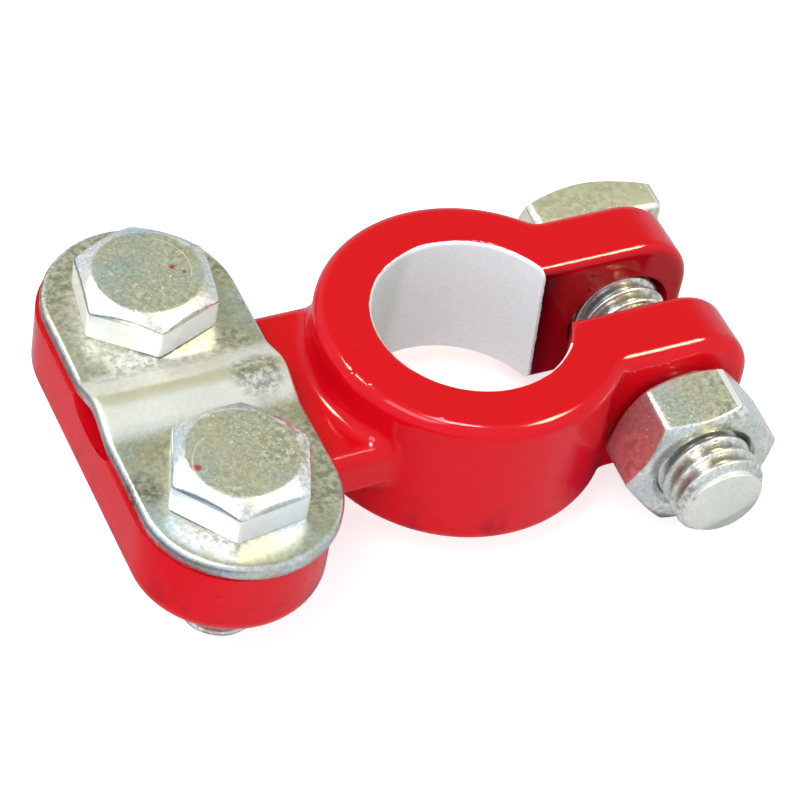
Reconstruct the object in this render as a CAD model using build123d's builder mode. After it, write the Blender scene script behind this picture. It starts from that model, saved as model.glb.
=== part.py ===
from build123d import *
from math import cos, radians, sin, sqrt, tan
import os

# A battery terminal clamp: a cast, enamelled body that grips a tapered battery post, with a
# strap and two hex bolts that hold the cable on its saddle, and a square-headed pinch bolt
# with a hex nut through the two ears.
# Millimetres. Origin on the post axis at the underside of the ring, +Z up the post axis,
# +X from the saddle towards the ears, the pinch bolt's head on the +Y side.

# ---- Post ring --------------------------------------------------------------------------
bore_top_radius = 9.8
bore_taper = 1 / 9              # diameter lost per length, as on a battery post
bore_lip = 0.5                  # rounding of the bore's two rims
ring_height = 16.0
ring_wall = 5.7                 # at the top of the bore
ring_edge = 1.5                 # rounding of the casting's outer edges

# ---- Pinch ears -------------------------------------------------------------------------
slit_width = 6.3
ear_thickness = 7.15
ear_reach = 7.5                 # from the pinch hole's axis to the end of the ears
ear_corner = 6.5                # rounding of the ear's end, seen along the pinch bolt
ear_root = 2.0                  # hollow rounding where an ear leaves the ring
slit_edge = 1.2
pinch_axis_height = 6.8
pinch_hole_clearance = 0.85     # radial, and loose enough for the bolt to stand askew

# ---- Saddle and neck --------------------------------------------------------------------
saddle_offset = 29.3            # from the post axis to the line of the saddle bolts
saddle_shift = 0.6              # the casting lies this much further out than the bolts' line
saddle_width = 19.0
saddle_length = 44.2
saddle_lift = 4.4               # underside of the saddle above the underside of the ring
saddle_thickness = 8.2
saddle_edge = 2.0               # rounding of the saddle's lower edge
bolt_spacing = 24.0
boss_step = 1.4                 # the web between the two bosses is this much thinner
boss_reach = 4.0                # from a saddle bolt's axis inwards to the end of its boss
neck_width = 20.6
neck_drop = 1.3                 # top of the neck below the saddle's seat
neck_edge = 1.5
neck_root = 1.8                 # hollow rounding where the neck meets the ring
neck_flare = 1.2                # hollow rounding where the neck meets the saddle
cable_groove_depth = 1.2

# ---- Strap ------------------------------------------------------------------------------
plate_overhang = 0.2
plate_thickness = 1.6
plate_edge = 0.6                # rolled upper edge
plate_hole_clearance = 0.4      # radial
arch_rise = 1.5
arch_foot_gap = 0.15            # between a turning bolt head's corner and the arch's foot

# ---- Saddle bolts (5/16 inch, 18 threads per inch) --------------------------------------
saddle_bolt_radius = 3.97
saddle_bolt_length = 18.2
hex_head_flats = 12.7
hex_head_height = 4.3
hex_head_face = 5.3             # radius of the flat disc left by the 30 degree chamfer
thread_clearance = 0.05         # radial, between a bolt and what it is screwed into
bolt_point = 0.7                # chamfer at the end of a saddle bolt

# ---- Pinch bolt and nut (3/8 inch, 16 threads per inch) ---------------------------------
pinch_bolt_radius = 4.76
pinch_bolt_length = 33.3
pinch_point = 1.0
pinch_skew = radians(2.9)       # how far the loose bolt stands askew, seen from above
square_head_flats = 14.0
square_head_height = 5.0
square_head_corner = 1.2
square_head_face = 6.9          # radius of the disc left by the chamfer
square_head_seat = 0.8          # rounding of the edge that seats on the ear
nut_flats = 14.0
nut_height = 6.7
nut_face = 6.65                 # radius of the disc left by the chamfer at both ends
nut_mouth = 0.6                 # countersink of the nut's thread
nut_stand_off = 1.0             # the nut is not run fully down to the ear
nut_ring_gap = 0.4              # between a turning nut's corner and the ring
nut_turn = 9.0                  # degrees, how the nut happens to stand
front_head_turn = 8.0           # degrees, how the two hex heads happen to stand
rear_head_turn = -38.8
chamfer_slope = tan(radians(30))

# ---- Worked out from the above ----------------------------------------------------------
ring_radius = bore_top_radius + ring_wall
bore_bottom_radius = bore_top_radius + ring_height * bore_taper / 2
ear_face = slit_width / 2 + ear_thickness
nut_corner = nut_flats / sqrt(3)
nut_bore_radius = pinch_bolt_radius + thread_clearance
nut_shoulder = (nut_corner - nut_face) * chamfer_slope
nut_seat = ear_face + nut_stand_off
nut_widest = nut_seat + nut_shoulder
ring_beside_nut = sqrt(ring_radius ** 2 - (nut_widest - nut_corner * sin(pinch_skew)) ** 2)
pinch_axis_x = ring_beside_nut + nut_corner + nut_ring_gap + nut_widest * tan(pinch_skew)
ear_end = pinch_axis_x + ear_reach
saddle_top = saddle_lift + saddle_thickness
neck_top = saddle_top - neck_drop
neck_bottom = saddle_lift + boss_step
saddle_middle = saddle_offset + saddle_shift
saddle_side = -saddle_middle + saddle_width / 2
plate_top = saddle_top + plate_thickness
plate_middle = saddle_top + plate_thickness / 2
plate_width = saddle_width + 2 * plate_overhang
plate_length = saddle_length + 2 * plate_overhang
hex_head_corner = hex_head_flats / sqrt(3)
arch_half_span = bolt_spacing / 2 - hex_head_corner - arch_foot_gap
hex_head_top = plate_top + hex_head_height
hex_head_envelope = [           # half outline of the disc-topped cone that trims a hex head
    (0, plate_top - hex_head_flats),
    (hex_head_flats, plate_top - hex_head_flats),
    (hex_head_flats, hex_head_top - (hex_head_flats - hex_head_face) * chamfer_slope),
    (hex_head_face, hex_head_top),
    (0, hex_head_top),
]
head_seat = ear_face + square_head_flats / 2 * sin(pinch_skew)
square_head_end = head_seat + square_head_height
square_head_fall = (square_head_flats - square_head_face) * chamfer_slope
groove_radius = (arch_half_span ** 2 + cable_groove_depth ** 2) / (2 * cable_groove_depth)
past = 5.0                      # how far a cutter runs past the face it cuts

os.makedirs("parts", exist_ok=True)


# ---- Which edges are rounded ------------------------------------------------------------
def on_ring_rim(edge):
    """Outer edges of ring and ears: top and bottom outlines and the ears' rounded ends."""
    middle = edge @ 0.5
    level = min(abs(middle.Z), abs(middle.Z - ring_height)) < 0.01
    inside_end = abs(middle.Y) < 1 and middle.X > 0
    ear_outline = abs(abs(middle.Y) - ear_face) < 0.01 and middle.X > pinch_axis_x
    return (level and not inside_end) or ear_outline


def on_slit(edge):
    """Edges that the slit leaves on the ears."""
    middle = edge @ 0.5
    return abs(abs(middle.Y) - slit_width / 2) < 0.01 and middle.X > past + 0.1


def on_bore_rim(corner):
    """The two corners of the bore's outline where the wall meets the ring's faces."""
    return 0 < corner.X < bore_bottom_radius + bore_lip and -bore_lip < corner.Y < ring_height + bore_lip


def on_saddle_underside(edge):
    return abs((edge @ 0.5).Z - saddle_lift) < 0.01


def on_neck_height(edge):
    return neck_bottom - 0.1 < (edge @ 0.5).Z < neck_top + 0.1


def on_ring_joint(edge):
    """Edges where the neck runs into the ring."""
    middle = edge @ 0.5
    from_axis = sqrt(middle.X ** 2 + middle.Y ** 2)
    return on_neck_height(edge) and abs(from_axis - ring_radius) < 0.02 and middle.X < 0


def on_saddle_joint(edge):
    """Edges where the neck runs into the side of the saddle."""
    middle = edge @ 0.5
    beside = saddle_side - saddle_edge < middle.X < saddle_side + 0.02
    return on_neck_height(edge) and beside and abs(middle.Y) < neck_width / 2 + 0.02


def on_plate_rim(edge):
    """Upper edges of the strap's outline, over the arch as well."""
    middle = edge @ 0.5
    on_side = abs(abs(middle.X + saddle_offset) - plate_width / 2) < 0.01
    on_end = abs(abs(middle.Y) - plate_length / 2) < 0.01
    return middle.Z > plate_top - 0.01 and (on_side or on_end)


def on_nut_mouth(edge):
    """The two rims of the nut's bore."""
    return edge.geom_type == GeomType.CIRCLE and abs(edge.radius - nut_bore_radius) < 0.01


# ---- Cast body --------------------------------------------------------------------------
with BuildPart() as terminal_body:
    # Ring and ears in plan, with the ears' roots rounded into the ring.
    with BuildSketch(Plane.XY) as ring_plan:
        Circle(ring_radius)
        with Locations((ear_end / 2, 0)):
            Rectangle(ear_end, 2 * ear_face)
        fillet(ring_plan.vertices().filter_by(lambda v: 1 < v.X < ring_radius), ear_root)
    extrude(amount=ring_height)

    # The ears' ends are rounded as seen along the pinch bolt.
    with BuildSketch(Plane.XZ) as ear_side:
        with Locations(((ear_end - ring_radius - past) / 2, ring_height / 2)):
            Rectangle(ear_end + ring_radius + past, ring_height)
        fillet(ear_side.vertices().group_by(Axis.X)[-1], ear_corner)
    extrude(amount=ring_radius + past, both=True, mode=Mode.INTERSECT)
    fillet(terminal_body.edges().filter_by(on_ring_rim), ring_edge)

    # Slit between the ears, from inside the bore out past their ends.
    with BuildSketch(Plane.XY) as slit_plan:
        with Locations((ear_end / 2 + past, 0)):
            Rectangle(ear_end, slit_width)
    extrude(amount=ring_height, mode=Mode.SUBTRACT)
    fillet(terminal_body.edges().filter_by(on_slit), slit_edge)

    # Saddle across the end of the neck.
    with BuildSketch(Plane.XY.offset(saddle_lift)) as saddle_plan:
        with Locations((-saddle_middle, 0)):
            SlotOverall(saddle_length, saddle_width, rotation=90)
    extrude(amount=saddle_thickness)
    fillet(terminal_body.edges().filter_by(on_saddle_underside), saddle_edge)

    # Neck from the saddle into the ring, rounded into both.
    with BuildSketch(Plane.YZ.offset(-saddle_offset)) as neck_section:
        with Locations((0, (neck_top + neck_bottom) / 2)):
            RectangleRounded(neck_width, neck_top - neck_bottom, neck_edge)
    extrude(amount=saddle_offset)
    fillet(terminal_body.edges().filter_by(on_ring_joint), neck_root)
    fillet(terminal_body.edges().filter_by(on_saddle_joint), neck_flare)

    # Shallow relief under the saddle, which leaves a boss round each tapped hole.
    with BuildSketch(Plane.YZ.offset(-saddle_middle)) as relief_section:
        with Locations((0, saddle_lift)):
            Rectangle(bolt_spacing - 2 * boss_reach, 2 * boss_step)
        fillet(relief_section.vertices().group_by(Axis.Y)[-1], boss_step)
    extrude(amount=saddle_width / 2 + past / 2, both=True, mode=Mode.SUBTRACT)

    # Tapered post bore with rounded rims.
    with BuildSketch(Plane.XZ) as bore_profile:
        with BuildLine() as bore_outline:
            Polyline(
                (0, -past),
                (bore_bottom_radius + 3 * bore_lip, -past),
                (bore_bottom_radius + 3 * bore_lip, 0),
                (bore_bottom_radius, 0),
                (bore_top_radius, ring_height),
                (bore_top_radius + 3 * bore_lip, ring_height),
                (bore_top_radius + 3 * bore_lip, ring_height + past),
                (0, ring_height + past),
                close=True,
            )
        make_face()
        fillet(bore_profile.vertices().filter_by(on_bore_rim), bore_lip)
    revolve(axis=Axis.Z, mode=Mode.SUBTRACT)

    # Groove in the saddle's seat, in which the cable lies.
    with BuildSketch(Plane.YZ.offset(-saddle_middle - saddle_width / 2 - past)) as groove_section:
        with Locations((0, saddle_top - cable_groove_depth + groove_radius)):
            Circle(groove_radius)
    extrude(amount=saddle_width + past + neck_flare, mode=Mode.SUBTRACT)

    # Tapped holes for the saddle bolts.
    with BuildSketch(Plane.XY) as tapped_plan:
        with Locations((-saddle_offset, -bolt_spacing / 2), (-saddle_offset, bolt_spacing / 2)):
            Circle(saddle_bolt_radius + thread_clearance)
    extrude(amount=saddle_top + past, mode=Mode.SUBTRACT)

    # Clearance hole for the pinch bolt through both ears.
    with BuildSketch(Plane.XZ) as pinch_plan:
        with Locations((pinch_axis_x, pinch_axis_height)):
            Circle(pinch_bolt_radius + pinch_hole_clearance)
    extrude(amount=ear_face + past, both=True, mode=Mode.SUBTRACT)
terminal_body.part.label = "terminal_body"
export_step(terminal_body.part, "parts/terminal_body.step")


# ---- Strap ------------------------------------------------------------------------------
with BuildPart() as cable_plate:
    # Flat wings and a shallow arch, drawn as the sheet's middle line.
    with BuildSketch(Plane.YZ.offset(-saddle_offset)) as sheet_section:
        with BuildLine() as sheet_line:
            Line((-plate_length / 2, plate_middle), (-arch_half_span, plate_middle))
            TangentArc(
                (-arch_half_span, plate_middle),
                (-arch_half_span / 2, plate_middle + arch_rise / 2),
                tangent=(1, 0),
            )
            TangentArc(
                (0, plate_middle + arch_rise),
                (-arch_half_span / 2, plate_middle + arch_rise / 2),
                tangent=(-1, 0),
            )
            mirror(about=Plane.YZ)
        trace(line_width=plate_thickness)
    extrude(amount=plate_width / 2, both=True)

    # Its outline in plan is a slot, with a hole for each saddle bolt.
    with BuildSketch(Plane.XY.offset(saddle_top)) as plate_plan:
        with Locations((-saddle_offset, 0)):
            SlotOverall(plate_length, plate_width, rotation=90)
        with Locations((-saddle_offset, -bolt_spacing / 2), (-saddle_offset, bolt_spacing / 2)):
            Circle(saddle_bolt_radius + plate_hole_clearance, mode=Mode.SUBTRACT)
    extrude(amount=plate_thickness + arch_rise, mode=Mode.INTERSECT)
    fillet(cable_plate.edges().filter_by(on_plate_rim), plate_edge)
cable_plate.part.label = "cable_plate"
export_step(cable_plate.part, "parts/cable_plate.step")


# ---- Saddle bolts -----------------------------------------------------------------------
front_bolt_plan = Plane((-saddle_offset, -bolt_spacing / 2, 0))
front_bolt_side = Plane(front_bolt_plan.origin, x_dir=(1, 0, 0), z_dir=(0, -1, 0))
front_bolt_axis = Axis(front_bolt_plan.origin, (0, 0, 1))
rear_bolt_plan = Plane((-saddle_offset, bolt_spacing / 2, 0))
rear_bolt_side = Plane(rear_bolt_plan.origin, x_dir=(1, 0, 0), z_dir=(0, -1, 0))
rear_bolt_axis = Axis(rear_bolt_plan.origin, (0, 0, 1))

with BuildPart() as saddle_bolt_front:
    with BuildSketch(front_bolt_plan.offset(plate_top)) as front_hexagon:
        RegularPolygon(hex_head_corner, 6, rotation=front_head_turn)
    extrude(amount=hex_head_height)
    # The corners are turned off at 30 degrees round the top of the head.
    with BuildSketch(front_bolt_side) as front_chamfer:
        with BuildLine() as front_chamfer_outline:
            Polyline(*hex_head_envelope, close=True)
        make_face()
    revolve(axis=front_bolt_axis, mode=Mode.INTERSECT)
    # Shank, with a chamfered end.
    with BuildSketch(front_bolt_plan.offset(plate_top - saddle_bolt_length)) as front_shank:
        Circle(saddle_bolt_radius)
    extrude(amount=saddle_bolt_length)
    chamfer(saddle_bolt_front.edges().group_by(Axis.Z)[0], bolt_point)
saddle_bolt_front.part.label = "saddle_bolt_front"
export_step(saddle_bolt_front.part, "parts/saddle_bolt_front.step")

with BuildPart() as saddle_bolt_rear:
    with BuildSketch(rear_bolt_plan.offset(plate_top)) as rear_hexagon:
        RegularPolygon(hex_head_corner, 6, rotation=rear_head_turn)
    extrude(amount=hex_head_height)
    with BuildSketch(rear_bolt_side) as rear_chamfer:
        with BuildLine() as rear_chamfer_outline:
            Polyline(*hex_head_envelope, close=True)
        make_face()
    revolve(axis=rear_bolt_axis, mode=Mode.INTERSECT)
    with BuildSketch(rear_bolt_plan.offset(plate_top - saddle_bolt_length)) as rear_shank:
        Circle(saddle_bolt_radius)
    extrude(amount=saddle_bolt_length)
    chamfer(saddle_bolt_rear.edges().group_by(Axis.Z)[0], bolt_point)
saddle_bolt_rear.part.label = "saddle_bolt_rear"
export_step(saddle_bolt_rear.part, "parts/saddle_bolt_rear.step")


# ---- Pinch bolt -------------------------------------------------------------------------
# The bolt stands askew in its holes, with the nut's end nearer the ring. Seen along it the
# sketches' local axes are X across and Y up, and the plane faces the nut's side.
pinch_middle = (pinch_axis_x, 0, pinch_axis_height)
pinch_across = (cos(pinch_skew), -sin(pinch_skew), 0)
pinch_side = Plane(pinch_middle, x_dir=pinch_across, z_dir=(0, 0, 1))
pinch_axis = Axis(pinch_middle, pinch_side.y_dir)
pinch_plane = Plane(pinch_middle, x_dir=pinch_across, z_dir=-pinch_side.y_dir)

with BuildPart() as pinch_bolt:
    with BuildSketch(pinch_plane.offset(-square_head_end)) as square_plan:
        RectangleRounded(square_head_flats, square_head_flats, square_head_corner)
    extrude(amount=square_head_height)
    fillet(pinch_bolt.faces().sort_by(pinch_axis)[0].edges(), square_head_seat)
    # The outer face is turned off at 30 degrees round a disc.
    with BuildSketch(pinch_side) as square_chamfer:
        with BuildLine() as square_chamfer_outline:
            Polyline(
                (0, 0),
                (square_head_flats, 0),
                (square_head_flats, square_head_end - square_head_fall),
                (square_head_face, square_head_end),
                (0, square_head_end),
                close=True,
            )
        make_face()
    revolve(axis=pinch_axis, mode=Mode.INTERSECT)
    with BuildSketch(pinch_plane.offset(-head_seat - square_head_seat)) as pinch_shank:
        Circle(pinch_bolt_radius)
    extrude(amount=pinch_bolt_length + square_head_seat)
    chamfer(pinch_bolt.edges().group_by(pinch_axis)[0], pinch_point)
pinch_bolt.part.label = "pinch_bolt"
export_step(pinch_bolt.part, "parts/pinch_bolt.step")


# ---- Pinch nut --------------------------------------------------------------------------
with BuildPart() as pinch_nut:
    with BuildSketch(pinch_plane.offset(nut_seat)) as nut_plan:
        RegularPolygon(nut_corner, 6, rotation=nut_turn)
    extrude(amount=nut_height)
    # Both faces are turned off at 30 degrees round a disc.
    with BuildSketch(pinch_side) as nut_envelope:
        with BuildLine() as nut_envelope_outline:
            Polyline(
                (0, -nut_seat),
                (nut_face, -nut_seat),
                (nut_face + nut_height / 2 / chamfer_slope, -nut_seat - nut_height / 2),
                (nut_face, -nut_seat - nut_height),
                (0, -nut_seat - nut_height),
                close=True,
            )
        make_face()
    revolve(axis=pinch_axis, mode=Mode.INTERSECT)
    # Thread's bore, countersunk at both ends.
    with BuildSketch(pinch_plane) as nut_bore:
        Circle(nut_bore_radius)
    extrude(amount=nut_seat + nut_height + past, mode=Mode.SUBTRACT)
    chamfer(pinch_nut.edges().filter_by(on_nut_mouth), nut_mouth)
pinch_nut.part.label = "pinch_nut"
export_step(pinch_nut.part, "parts/pinch_nut.step")
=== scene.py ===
# %% [markdown]
# # A battery terminal clamp
# This clamp joins a heavy cable to the post of a car battery. A red enamelled casting grips
# the post, and zinc-plated bolts, a nut and a strap do the clamping. The exact solids come
# from the CAD part. This lesson gives them their finishes, swaps the plain fasteners for ones
# with real threads and worn edges, and lights the whole on a pale table.

# %% Load the solids
import math

import bmesh
import bpy
import numpy as np
from mathutils import Matrix, Vector, noise


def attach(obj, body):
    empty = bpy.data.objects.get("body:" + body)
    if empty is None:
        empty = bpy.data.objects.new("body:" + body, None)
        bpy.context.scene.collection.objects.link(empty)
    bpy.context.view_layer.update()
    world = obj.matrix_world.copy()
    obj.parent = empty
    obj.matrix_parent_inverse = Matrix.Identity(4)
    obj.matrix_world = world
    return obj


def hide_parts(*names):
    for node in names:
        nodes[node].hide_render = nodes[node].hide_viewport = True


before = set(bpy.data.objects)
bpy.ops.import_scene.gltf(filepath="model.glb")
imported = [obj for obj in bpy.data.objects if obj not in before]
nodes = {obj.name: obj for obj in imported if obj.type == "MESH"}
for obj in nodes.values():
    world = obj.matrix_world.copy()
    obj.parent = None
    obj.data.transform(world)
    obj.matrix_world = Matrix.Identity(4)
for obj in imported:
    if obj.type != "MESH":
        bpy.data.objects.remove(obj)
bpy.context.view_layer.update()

# %% [markdown]
# ## Sizes
# Everything below is written in millimetres, as on a drawing, and turned to metres once.
# The two thread pitches follow from the inch sizes: 18 and 16 turns to the inch.

# %% Sizes and places of the fasteners
MM = 0.001
INCH = 25.4
STRAP_BOLT = {"radius": 3.97, "pitch": INCH / 18, "length": 18.2, "point": 0.7}
PINCH_BOLT = {"radius": 4.76, "pitch": INCH / 16, "length": 33.3, "point": 1.0}
STRAP_BOLT_X = -29.3
STRAP_BOLT_Y = 12.0
STRAP_TOP = 14.2
# The pinch bolt's line crosses the middle plane here, and head and nut seat this far along it.
PINCH_X = 19.2427
PINCH_Z = 6.8
PINCH_SKEW = math.radians(2.9)
HEAD_SEAT = 10.6542
NUT_SEAT = 11.3
print("pitches", round(STRAP_BOLT["pitch"], 3), round(PINCH_BOLT["pitch"], 3))

# %% [markdown]
# ## Small helpers
# Colours are easiest to read as the hex codes of a paint chart, but a shader works in linear
# light, so one function converts them. A second adds a node, sets it up and links it, which
# keeps every material down to a line or two a node. An input may be given as a plain value, as
# a socket, or as a whole node, whose first output is then used. A third lays colours over a
# colour, as coats of paint go on. It uses Mix nodes, which have one set of sockets for numbers
# and another for colours, so those for colours are named here by number.

# %% Colour and node helpers
MIX_A, MIX_B, MIX_RESULT = 6, 7, 2


def linear(code):
    """An sRGB hex colour such as #C8102E as linear RGBA."""
    values = [int(code[i:i + 2], 16) / 255 for i in (1, 3, 5)]
    return [v / 12.92 if v <= 0.04045 else ((v + 0.055) / 1.055) ** 2.4 for v in values] + [1.0]


def add(tree, kind, inputs=None, **settings):
    """Adds a node, applies its settings, and fills or links the inputs named."""
    made = tree.nodes.new(kind)
    for key, value in settings.items():
        setattr(made, key, value)
    for key, value in (inputs or {}).items():
        if isinstance(value, bpy.types.Node):
            value = value.outputs[0]
        if isinstance(value, bpy.types.NodeSocket):
            tree.links.new(value, made.inputs[key])
        else:
            made.inputs[key].default_value = value
    return made


def layered(tree, colour, layers):
    """A colour with others laid over it in turn, each given by where it shows and its code."""
    for where, code in layers:
        mixed = add(tree, "ShaderNodeMix", {
            "Factor": where, MIX_A: colour, MIX_B: linear(code)}, data_type="RGBA")
        colour = mixed.outputs[MIX_RESULT]
    return colour


def new_material(name):
    """An empty material and its tree."""
    material = bpy.data.materials.new(name)
    material.use_nodes = True
    material.node_tree.nodes.clear()
    return material, material.node_tree


print("red in linear light", [round(v, 3) for v in linear("#E21E26")])

# %% [markdown]
# ## Red enamel: its skin
# The casting is dipped or sprayed with a thick gloss enamel. It levels to a smooth skin with a
# slow wave in it, and leaves a few nibs and lumps where drops dried. The skin could be modelled,
# but bumps this shallow only bend reflections, so Bump nodes do it without touching the solid.
#
# A noise repeats Scale times a metre, so each scale below is 1000 over a real size in mm.

# %% Waves, nibs and dried drops
SKIN_WAVE = 330.0        # 3 mm from one shallow crest to the next
NIB_CELLS = 420.0        # room for one nib every 2.4 mm
NIB_PATCHES = 150.0      # nibs come in patches 7 mm across
# Where enamel dried in drops (x, y, z, radius, in mm): ears, slit, the cable channel's mouth.
DRIED_DROPS = (
    (15.2, 3.2, 13.9, 0.4), (15.2, 3.2, 11.9, 0.4), (12.2, -10.3, 14.5, 0.3),
    (12.8, -10.3, 14.3, 0.25), (14.7, -10.3, 14.5, 0.2), (15.6, -10.3, 14.5, 0.16),
    (16.5, -10.3, 14.5, 0.2), (-39.4, 3.6, 12.9, 0.6), (-39.4, 2.6, 12.7, 0.55),
    (-39.4, 1.6, 12.3, 0.5), (-39.4, -2.4, 11.6, 0.4))


def enamel_skin(tree, place):
    """The bent normal of the enamel: a wave, sparse nibs, and each dried drop."""
    wave = add(tree, "ShaderNodeTexNoise", {"Vector": place, "Scale": SKIN_WAVE, "Detail": 1.0})
    cells = add(tree, "ShaderNodeTexVoronoi", {"Vector": place, "Scale": NIB_CELLS})
    nib = add(tree, "ShaderNodeMapRange", {
        "Value": cells, "From Min": 0.0, "From Max": 0.22, "To Min": 1.0, "To Max": 0.0})
    patches = add(tree, "ShaderNodeTexNoise", {
        "Vector": place, "Scale": NIB_PATCHES, "Detail": 0.0})
    here = add(tree, "ShaderNodeMapRange", {
        "Value": patches, "From Min": 0.62, "From Max": 0.66})
    nibs = add(tree, "ShaderNodeMath", {0: nib, 1: here}, operation="MULTIPLY")
    skin = add(tree, "ShaderNodeBump", {
        "Height": wave, "Strength": 0.08, "Distance": 0.35 * MM})
    skin = add(tree, "ShaderNodeBump", {
        "Height": nibs, "Strength": 0.5, "Distance": 0.18 * MM, "Normal": skin})
    for x, y, z, radius in DRIED_DROPS:
        away = add(tree, "ShaderNodeVectorMath", {
            0: place, 1: (x * MM, y * MM, z * MM)}, operation="DISTANCE")
        lump = add(tree, "ShaderNodeMapRange", {
            "Value": away.outputs["Value"], "From Min": radius * MM, "From Max": 0.0},
            interpolation_type="SMOOTHSTEP")
        skin = add(tree, "ShaderNodeBump", {
            "Height": lump, "Strength": 1.0, "Distance": 0.6 * radius * MM, "Normal": skin})
    return skin


print("enamel skin with", len(DRIED_DROPS), "dried drops")

# %% [markdown]
# ## Red enamel: its colour
# The paint is one red, but not quite even. It is drawn dark on the two faces of the slit
# between the ears, as painted shade, and the sides grow darker towards the underside, in smears.
# Both could be painted on by hand; here each follows from where a point is, so it fits the solid
# exactly.

# %% Red, painted slit shade and darker low sides
TINT_CLOUDS = 90.0       # the red shifts over 11 mm
LOW_SMEARS = 280.0     # smears 3.6 mm across
SLIT_FACES = (3.6, 3.2)  # painted shade starts, and is full, this far from the middle plane
SLIT_DEPTH = (12.5, 9.5)  # and it deepens between these places along X
SADDLE_ENDS = -20.0      # the saddle is left of this X
SADDLE_UNDERSIDE = 4.4   # and its underside stands this much higher than the ring's


# Painted shade: the two faces of the slit are drawn dark red.
def painted_slit_shade(tree, parts):
    """1 deep on the slit's faces, 0.4 nearer the ears' ends, and 0 elsewhere."""
    across = add(tree, "ShaderNodeMath", {0: parts.outputs["Y"]}, operation="ABSOLUTE")
    between = add(tree, "ShaderNodeMapRange", {
        "Value": across, "From Min": SLIT_FACES[0] * MM, "From Max": SLIT_FACES[1] * MM})
    deep = add(tree, "ShaderNodeMapRange", {
        "Value": parts.outputs["X"], "From Min": SLIT_DEPTH[0] * MM,
        "From Max": SLIT_DEPTH[1] * MM, "To Min": 0.4})
    thick = add(tree, "ShaderNodeMath", {0: between, 1: deep}, operation="MULTIPLY")
    ahead = add(tree, "ShaderNodeMath", {
        0: parts.outputs["X"], 1: 0.0}, operation="GREATER_THAN")
    return add(tree, "ShaderNodeMath", {0: thick, 1: ahead}, operation="MULTIPLY")


# Darker towards the underside, in smears.
def darker_low_smears(tree, place, parts):
    """Smears that grow from 6 mm above the underside down to it."""
    saddle = add(tree, "ShaderNodeMath", {
        0: parts.outputs["X"], 1: SADDLE_ENDS * MM}, operation="LESS_THAN")
    above = add(tree, "ShaderNodeMath", {
        0: saddle, 1: -SADDLE_UNDERSIDE * MM, 2: parts.outputs["Z"]}, operation="MULTIPLY_ADD")
    low = add(tree, "ShaderNodeMapRange", {
        "Value": above, "From Min": 6 * MM, "From Max": 0.5 * MM, "To Max": 0.75})
    smears = add(tree, "ShaderNodeTexNoise", {
        "Vector": place, "Scale": LOW_SMEARS, "Detail": 4.0, "Roughness": 0.7})
    smeared = add(tree, "ShaderNodeMapRange", {
        "Value": smears, "From Min": 0.48, "From Max": 0.7})
    return add(tree, "ShaderNodeMath", {0: low, 1: smeared}, operation="MULTIPLY")


def enamel_colour(tree, place, parts):
    tint = add(tree, "ShaderNodeTexNoise", {
        "Vector": place, "Scale": TINT_CLOUDS, "Detail": 2.0})
    return layered(tree, linear("#DC0818"), (
        (tint, "#E30A1C"), (painted_slit_shade(tree, parts), "#38040A"),
        (darker_low_smears(tree, place, parts), "#6E0A1C")))


print("smears", round(1000 / LOW_SMEARS, 1), "mm across")

# %% [markdown]
# ## Bare lead alloy in the bore
# The bore is reamed after painting, so there the pale grey alloy is bare, dull and finely
# speckled. It is drawn near white, as painted light in the deep bore, and a little darker on the
# side away from the slit, as painted shade. It could be a second material
# on its own faces, but the paint's edge is ragged and crosses faces. So one material holds both
# finishes: it measures how far a point is from the post's axis and changes just at the rim.

# %% Alloy and the edge of the paint
ALLOY_GRAIN = 2600.0     # 0.4 mm: the real grain is finer and wouldn't show, so this is coarser
ALLOY_CLOUDS = 260.0     # dull and less dull patches 4 mm across
EDGE_RIPPLES = 900.0     # the paint's edge wanders every 1.1 mm


def bare_alloy(tree, place, parts):
    grain = add(tree, "ShaderNodeTexNoise", {
        "Vector": place, "Scale": ALLOY_GRAIN, "Detail": 3.0})
    cloud = add(tree, "ShaderNodeTexNoise", {
        "Vector": place, "Scale": ALLOY_CLOUDS, "Detail": 2.0})
    # Painted light and shade: the alloy is drawn near white, and darker on the side away from
    # the slit.
    side = add(tree, "ShaderNodeMapRange", {
        "Value": parts.outputs["X"], "From Min": -3.5 * MM, "From Max": -1.5 * MM})
    pale = layered(tree, linear("#E9EDE6"), ((side, "#FFFFFF"),))
    speckle = add(tree, "ShaderNodeMapRange", {
        "Value": grain, "From Min": 0.35, "From Max": 0.7, "To Min": 0.94, "To Max": 1.04})
    colour = add(tree, "ShaderNodeMix", {
        "Factor": 1.0, MIX_A: pale, MIX_B: speckle},
        data_type="RGBA", blend_type="MULTIPLY")
    rough = add(tree, "ShaderNodeMapRange", {"Value": cloud, "To Min": 0.45, "To Max": 0.65})
    dull = add(tree, "ShaderNodeBump", {
        "Height": grain, "Strength": 0.25, "Distance": 0.05 * MM})
    return add(tree, "ShaderNodeBsdfPrincipled", {
        "Base Color": colour.outputs[MIX_RESULT], "Specular IOR Level": 1.0,
        "Roughness": rough, "Normal": dull})


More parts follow.
